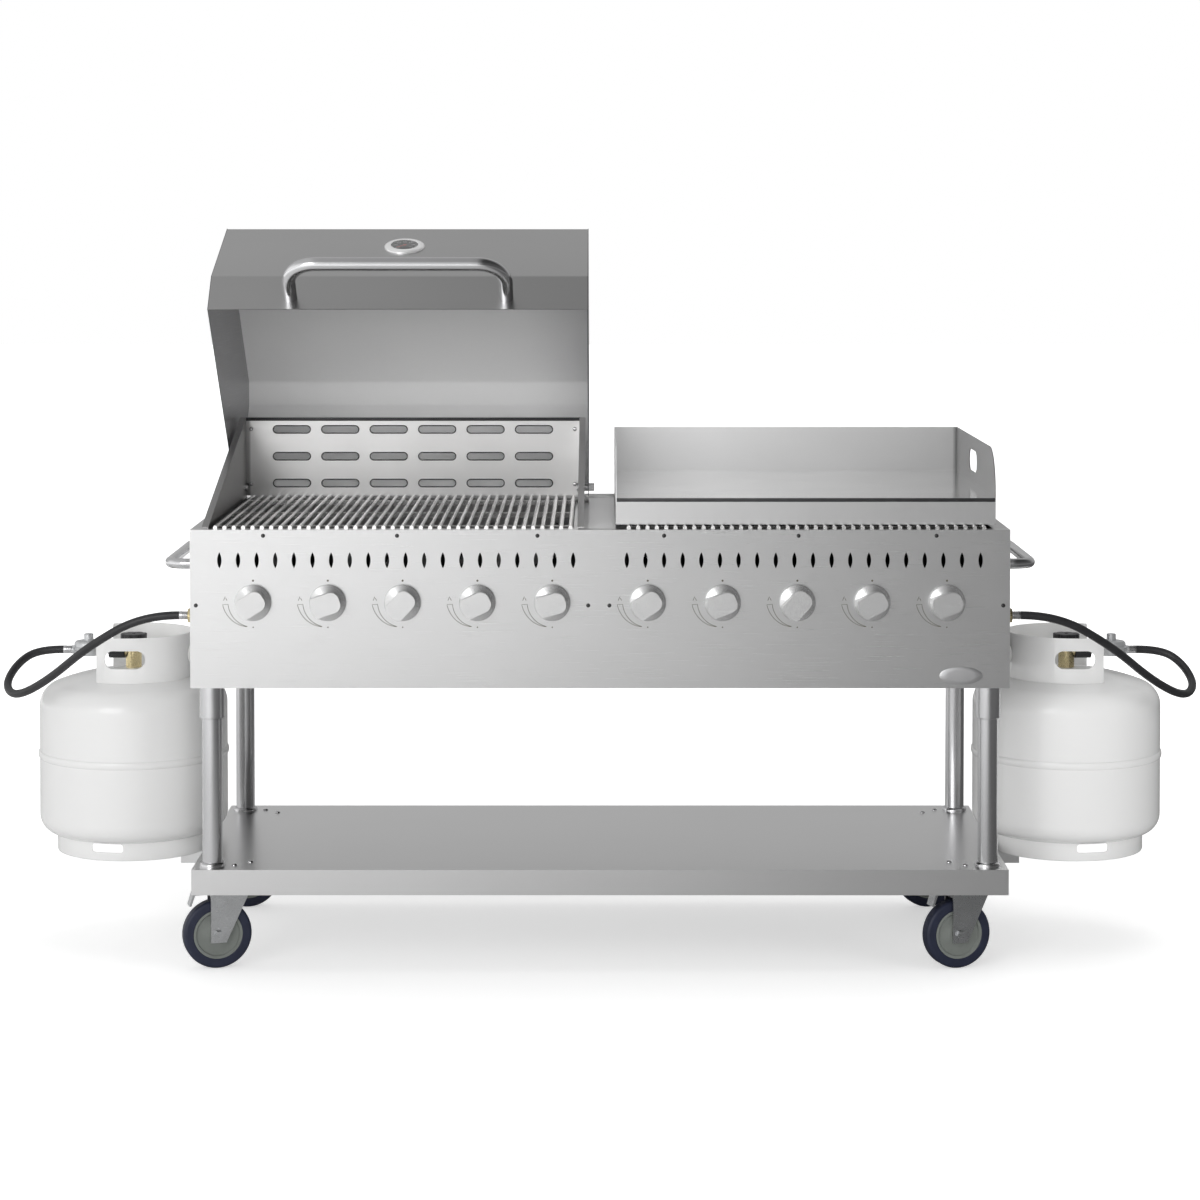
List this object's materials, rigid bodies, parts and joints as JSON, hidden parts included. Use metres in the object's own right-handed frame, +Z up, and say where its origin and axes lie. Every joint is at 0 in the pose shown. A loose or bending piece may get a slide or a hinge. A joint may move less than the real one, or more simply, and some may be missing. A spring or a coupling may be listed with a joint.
{
  "type": "gas grill",
  "caption": "Stainless outdoor gas grill on a caster cart with a hinged lid over a bar grate, a griddle with splash guards, burner knobs, an undershelf and propane cylinders.",
  "frame": {"origin": "on the floor under the middle of the grill's box with the lid open", "axes": "+X to the cook's right, +Y to the back, +Z up"},
  "size_m": [2.5292, 0.9396, 1.516],
  "materials": {
    "panel_steel": "satin stainless sheet",
    "lid_steel": "brushed stainless sheet, darker",
    "bright_steel": "polished stainless tube",
    "bezel": "polished ring round a dark dial",
    "grate_steel": "plain steel rod",
    "griddle_steel": "ground steel plate",
    "burner_steel": "plain stainless",
    "pipe_paint": "black paint",
    "brass": "machined brass",
    "cylinder_paint": "white powder coat",
    "regulator_grey": "grey paint on a cast body",
    "hose_rubber": "smooth black rubber",
    "knob_metal": "satin plated metal",
    "black_plastic": "moulded black plastic",
    "zinc": "zinc-plated steel",
    "wheel_tread": "dark rubber tread"
  },
  "bodies": {
    "stand": {"front_panel": "panel_steel", "rear_panel": "panel_steel", "left_end_panel": "panel_steel", "right_end_panel": "panel_steel", "centre_bridge": "panel_steel", "shelf": "panel_steel", "shelf_stiffeners": "panel_steel", "tank_arms": "panel_steel", "wind_guard": "panel_steel", "griddle_apron": "panel_steel", "griddle_guard": "panel_steel", "side_handles": "bright_steel", "hinge_bolts": "bright_steel", "legs": "bright_steel", "leg_sleeves": "bright_steel", "hose_ferrules": "bright_steel", "left_grate": "grate_steel", "right_grate": "grate_steel", "griddle_plate": "griddle_steel", "burners": "burner_steel", "burner_supports": "burner_steel", "heat_tents": "burner_steel", "drip_trays": "burner_steel", "manifold": "pipe_paint", "gas_valves": "brass", "tank_valves": "brass", "inlet_nuts": "brass", "tank_shells": "cylinder_paint", "tank_foot_rings": "cylinder_paint", "tank_collars": "cylinder_paint", "regulators": "regulator_grey", "left_hose": "hose_rubber", "right_hose": "hose_rubber", "caster_plates": "zinc"},
    "lid": {"lid_shell": "lid_steel", "lid_sides": "lid_steel", "lid_handle": "bright_steel", "thermometer": "bezel"},
    "knob_1": {"knob_1": "knob_metal"},
    "knob_2": {"knob_2": "knob_metal"},
    "knob_3": {"knob_3": "knob_metal"},
    "knob_4": {"knob_4": "knob_metal"},
    "knob_5": {"knob_5": "knob_metal"},
    "knob_6": {"knob_6": "knob_metal"},
    "knob_7": {"knob_7": "knob_metal"},
    "knob_8": {"knob_8": "knob_metal"},
    "knob_9": {"knob_9": "knob_metal"},
    "knob_10": {"knob_10": "knob_metal"},
    "front_left_caster": {"front_left_fork": "zinc"},
    "front_left_wheel": {"front_left_wheel": "wheel_tread"},
    "front_left_brake": {"front_left_brake_pedal": "zinc"},
    "front_right_caster": {"front_right_fork": "zinc"},
    "front_right_wheel": {"front_right_wheel": "wheel_tread"},
    "front_right_brake": {"front_right_brake_pedal": "zinc"},
    "rear_left_caster": {"rear_left_fork": "zinc"},
    "rear_left_wheel": {"rear_left_wheel": "wheel_tread"},
    "rear_right_caster": {"rear_right_fork": "zinc"},
    "rear_right_wheel": {"rear_right_wheel": "wheel_tread"},
    "left_handwheel": {"left_handwheel": "black_plastic"},
    "right_handwheel": {"right_handwheel": "black_plastic"}
  },
  "joints": [
    {"name": "lid_hinge", "type": "hinge", "parent": "stand", "child": "lid", "pos_m": [-0.421, 0.2222, 0.936], "axis": [1, 0, 0], "range_deg": [0, 42.3]},
    {"name": "knob_1_turn", "type": "hinge", "parent": "stand", "child": "knob_1", "pos_m": [-0.7046, -0.4278, 0.759], "axis": [0, -1, 0], "range_deg": [0, 180]},
    {"name": "knob_2_turn", "type": "hinge", "parent": "stand", "child": "knob_2", "pos_m": [-0.5527, -0.4278, 0.759], "axis": [0, -1, 0], "range_deg": [0, 180]},
    {"name": "knob_3_turn", "type": "hinge", "parent": "stand", "child": "knob_3", "pos_m": [-0.4008, -0.4278, 0.759], "axis": [0, -1, 0], "range_deg": [0, 180]},
    {"name": "knob_4_turn", "type": "hinge", "parent": "stand", "child": "knob_4", "pos_m": [-0.2489, -0.4278, 0.759], "axis": [0, -1, 0], "range_deg": [0, 180]},
    {"name": "knob_5_turn", "type": "hinge", "parent": "stand", "child": "knob_5", "pos_m": [-0.097, -0.4278, 0.759], "axis": [0, -1, 0], "range_deg": [0, 180]},
    {"name": "knob_6_turn", "type": "hinge", "parent": "stand", "child": "knob_6", "pos_m": [0.097, -0.4278, 0.759], "axis": [0, -1, 0], "range_deg": [0, 180]},
    {"name": "knob_7_turn", "type": "hinge", "parent": "stand", "child": "knob_7", "pos_m": [0.2489, -0.4278, 0.759], "axis": [0, -1, 0], "range_deg": [0, 180]},
    {"name": "knob_8_turn", "type": "hinge", "parent": "stand", "child": "knob_8", "pos_m": [0.4008, -0.4278, 0.759], "axis": [0, -1, 0], "range_deg": [0, 180]},
    {"name": "knob_9_turn", "type": "hinge", "parent": "stand", "child": "knob_9", "pos_m": [0.5527, -0.4278, 0.759], "axis": [0, -1, 0], "range_deg": [0, 180]},
    {"name": "knob_10_turn", "type": "hinge", "parent": "stand", "child": "knob_10", "pos_m": [0.7046, -0.4278, 0.759], "axis": [0, -1, 0], "range_deg": [0, 180]},
    {"name": "front_left_swivel", "type": "hinge", "parent": "stand", "child": "front_left_caster", "pos_m": [-0.76, -0.3658, 0.1717], "axis": [0, 0, 1], "continuous": true},
    {"name": "front_left_spin", "type": "hinge", "parent": "front_left_caster", "child": "front_left_wheel", "pos_m": [-0.78773, -0.37428, 0.0705], "axis": [-0.2924, 0.9563, 0], "continuous": true},
    {"name": "front_left_brake_press", "type": "hinge", "parent": "front_left_caster", "child": "front_left_brake", "pos_m": [-0.79443, -0.37633, 0.151], "axis": [0.2924, -0.9563, 0], "range_deg": [0, 8]},
    {"name": "front_right_swivel", "type": "hinge", "parent": "stand", "child": "front_right_caster", "pos_m": [0.76, -0.3658, 0.1717], "axis": [0, 0, 1], "continuous": true},
    {"name": "front_right_spin", "type": "hinge", "parent": "front_right_caster", "child": "front_right_wheel", "pos_m": [0.73227, -0.37428, 0.0705], "axis": [-0.2924, 0.9563, 0], "continuous": true},
    {"name": "front_right_brake_press", "type": "hinge", "parent": "front_right_caster", "child": "front_right_brake", "pos_m": [0.72557, -0.37633, 0.151], "axis": [0.2924, -0.9563, 0], "range_deg": [0, 8]},
    {"name": "rear_left_swivel", "type": "hinge", "parent": "stand", "child": "rear_left_caster", "pos_m": [-0.76, 0.1852, 0.1717], "axis": [0, 0, 1], "continuous": true},
    {"name": "rear_left_spin", "type": "hinge", "parent": "rear_left_caster", "child": "rear_left_wheel", "pos_m": [-0.78773, 0.17672, 0.0705], "axis": [-0.2924, 0.9563, 0], "continuous": true},
    {"name": "rear_right_swivel", "type": "hinge", "parent": "stand", "child": "rear_right_caster", "pos_m": [0.76, 0.1852, 0.1717], "axis": [0, 0, 1], "continuous": true},
    {"name": "rear_right_spin", "type": "hinge", "parent": "rear_right_caster", "child": "rear_right_wheel", "pos_m": [0.73227, 0.17672, 0.0705], "axis": [-0.2924, 0.9563, 0], "continuous": true},
    {"name": "left_valve_turn", "type": "hinge", "parent": "stand", "child": "left_handwheel", "pos_m": [-1.001, -0.0828, 0.64], "axis": [0, 0, 1], "range_deg": [0, 720]},
    {"name": "right_valve_turn", "type": "hinge", "parent": "stand", "child": "right_handwheel", "pos_m": [1.001, -0.0828, 0.64], "axis": [0, 0, 1], "range_deg": [0, 720]}
  ]
}
